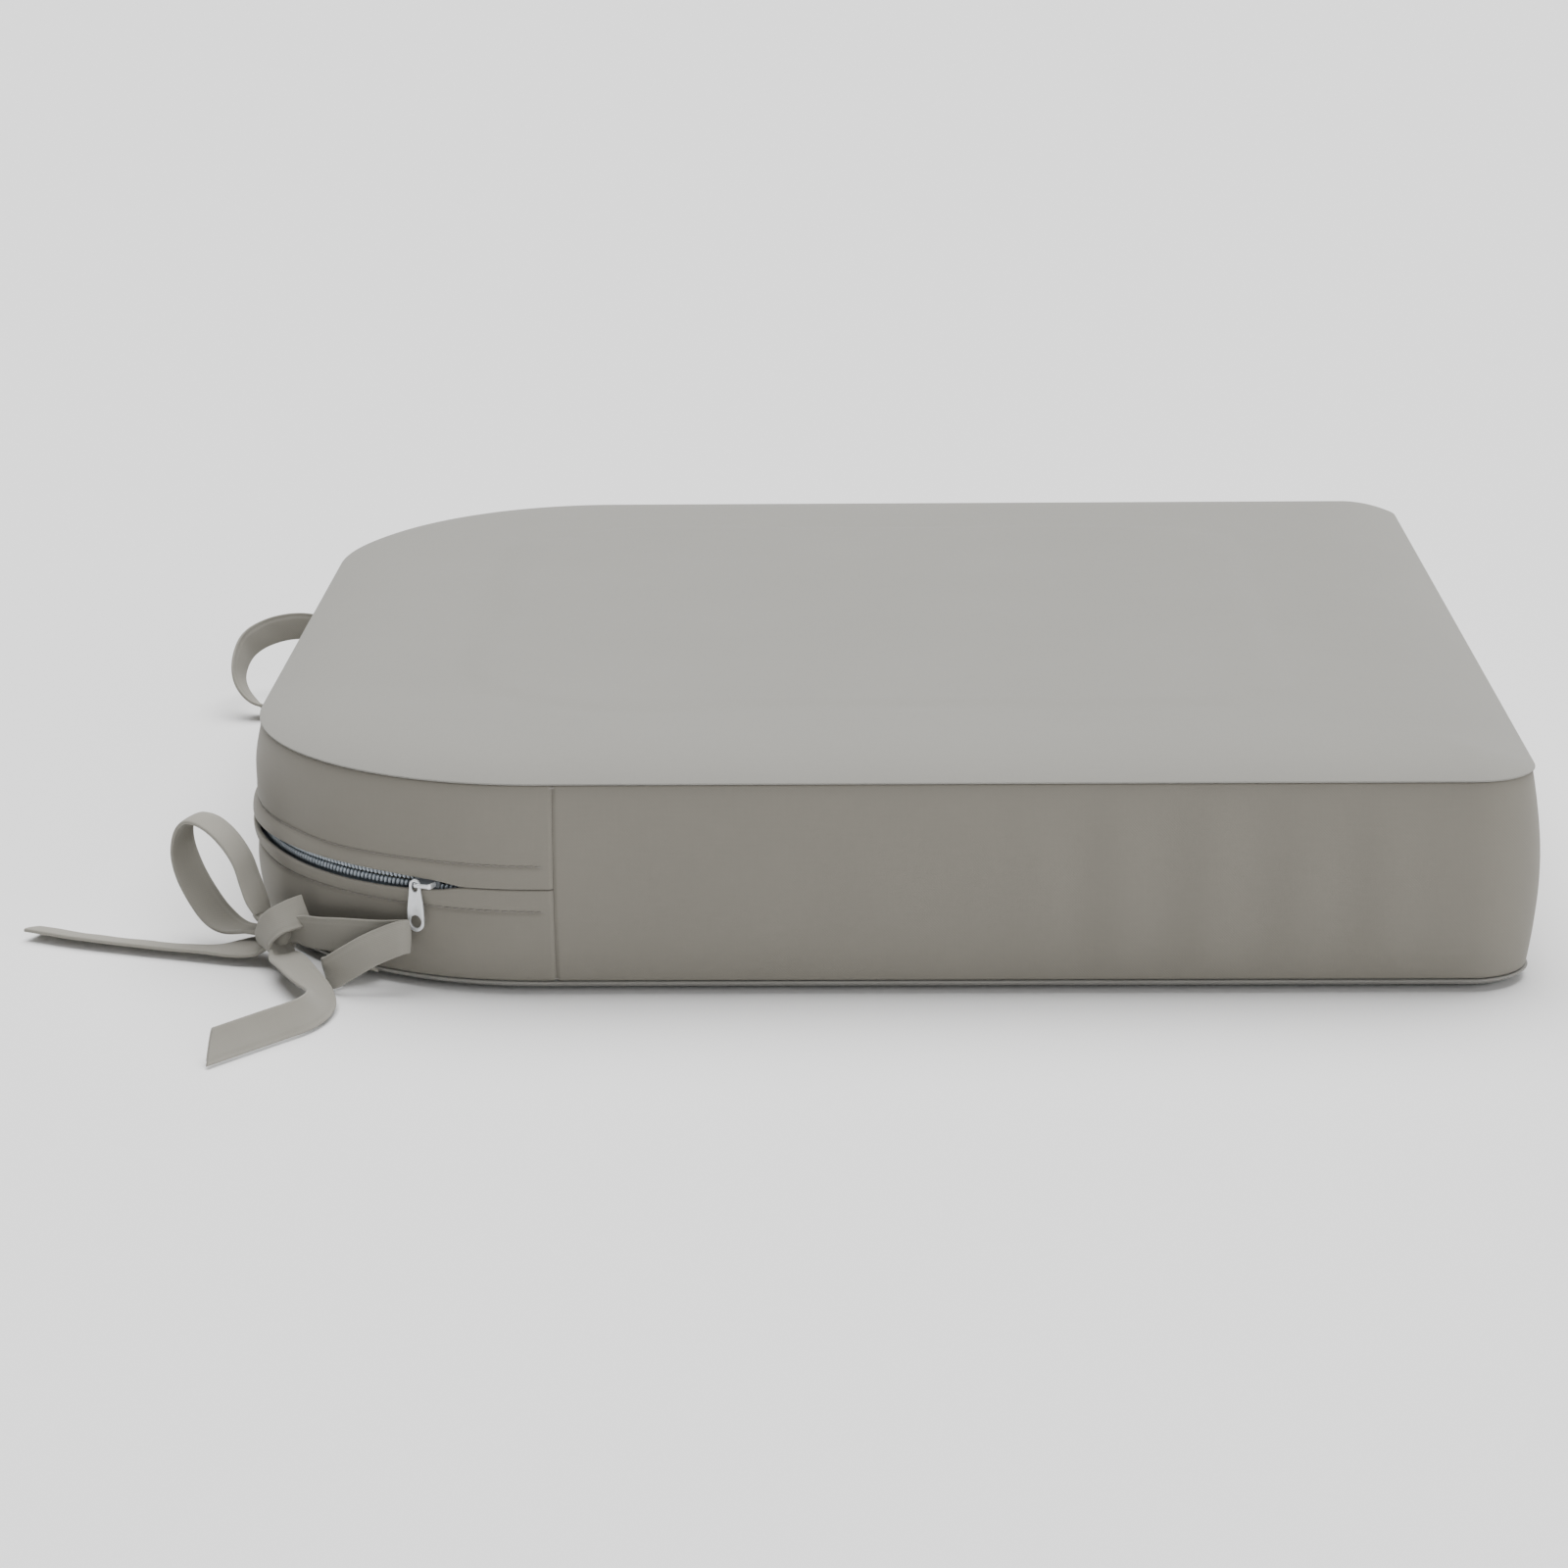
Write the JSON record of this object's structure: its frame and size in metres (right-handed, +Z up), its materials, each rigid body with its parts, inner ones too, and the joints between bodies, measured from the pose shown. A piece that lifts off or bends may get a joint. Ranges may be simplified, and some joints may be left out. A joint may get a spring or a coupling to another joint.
{
  "type": "chair seat pad",
  "caption": "Boxed fabric seat pad with rounded back corners, foam filling, a zip along the back boxing and a bow tie at each back corner.",
  "frame": {"origin": "on the resting face, under the centre of the pad's seam outline, without the ties", "axes": "+X towards the front edge (small corners), +Y towards the far side, +Z up from the resting face"},
  "size_m": [0.597, 0.6703, 0.0925],
  "materials": {
    "cover_fabric": "matte woven",
    "tie_fabric": "matte woven",
    "foam": "open-cell foam",
    "wadding": "soft fibre",
    "zip_tape": "knitted tape",
    "zip_coil": "satin nylon",
    "thread": "polyester thread",
    "slider_paint": "satin",
    "pull_metal": "satin die-cast"
  },
  "bodies": {
    "pad": {"top_panel": "cover_fabric", "bottom_panel": "cover_fabric", "front_boxing": "cover_fabric", "zip_boxing_upper": "cover_fabric", "zip_boxing_lower": "cover_fabric", "foam_core": "foam", "wadding_top": "wadding", "wadding_bottom": "wadding", "seam_thread_top": "thread", "seam_thread_bottom": "thread", "topstitch_upper": "thread", "topstitch_lower": "thread", "zip_tape_upper": "zip_tape", "zip_tape_lower": "zip_tape", "zip_coil_upper": "zip_coil", "zip_coil_lower": "zip_coil", "near_tie_knot": "tie_fabric", "near_tie_loop_left": "tie_fabric", "near_tie_loop_right": "tie_fabric", "near_tie_tail_left": "tie_fabric", "near_tie_tail_right": "tie_fabric", "far_tie_knot": "tie_fabric", "far_tie_loop_left": "tie_fabric", "far_tie_loop_right": "tie_fabric", "far_tie_tail_left": "tie_fabric", "far_tie_tail_right": "tie_fabric"},
    "slider": {"zip_slider_body": "slider_paint", "zip_slider_bridge": "pull_metal"},
    "pull": {"zip_pull_tab": "pull_metal"}
  },
  "joints": [
    {"name": "zip_travel", "type": "hinge", "parent": "pad", "child": "slider", "pos_m": [-0.13, -0.13, 0.043], "axis": [0, 0, -1], "range_deg": [0, 66]},
    {"name": "pull_swing", "type": "hinge", "parent": "slider", "child": "pull", "pos_m": [-0.17683, -0.24541, 0.043], "axis": [-0.3502, -0.9367, 0], "range_deg": [-90, 50]}
  ]
}
